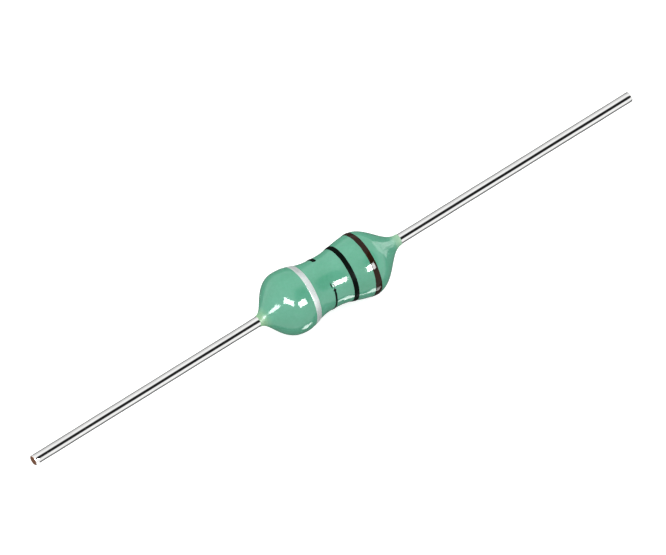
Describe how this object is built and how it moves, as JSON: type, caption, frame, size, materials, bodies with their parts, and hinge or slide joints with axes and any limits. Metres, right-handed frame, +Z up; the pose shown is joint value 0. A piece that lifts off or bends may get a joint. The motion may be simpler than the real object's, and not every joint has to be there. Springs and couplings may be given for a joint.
{
  "type": "axial inductor",
  "caption": "Small colour-banded axial inductor: a glossy green epoxy body with two bulges and a waist, on straight tinned wire leads.",
  "frame": {"origin": "middle of the body, between the two jacket tips, halfway between the lines of the two leads", "axes": "+X along the leads towards the lead next to the brown band; +Z up, square to the plane in which the body is canted"},
  "size_m": [0.0455, 0.0046, 0.0042],
  "materials": {
    "epoxy": "gloss",
    "tinned_wire": "polished",
    "brown_ink": "satin",
    "black_ink": "satin",
    "silver_ink": "satin",
    "ferrite": "matte",
    "enamelled_copper": "gloss",
    "core_adhesive": "satin",
    "solder": "polished"
  },
  "bodies": {
    "root": {"coating": "epoxy", "lead_left": "tinned_wire", "lead_right": "tinned_wire", "band_brown": "brown_ink", "band_black": "black_ink", "band_black_broken": "black_ink", "band_silver": "silver_ink", "drum_core": "ferrite", "coil_winding": "enamelled_copper", "glue_left": "core_adhesive", "glue_right": "core_adhesive", "solder_left": "solder", "solder_right": "solder"}
  },
  "joints": []
}
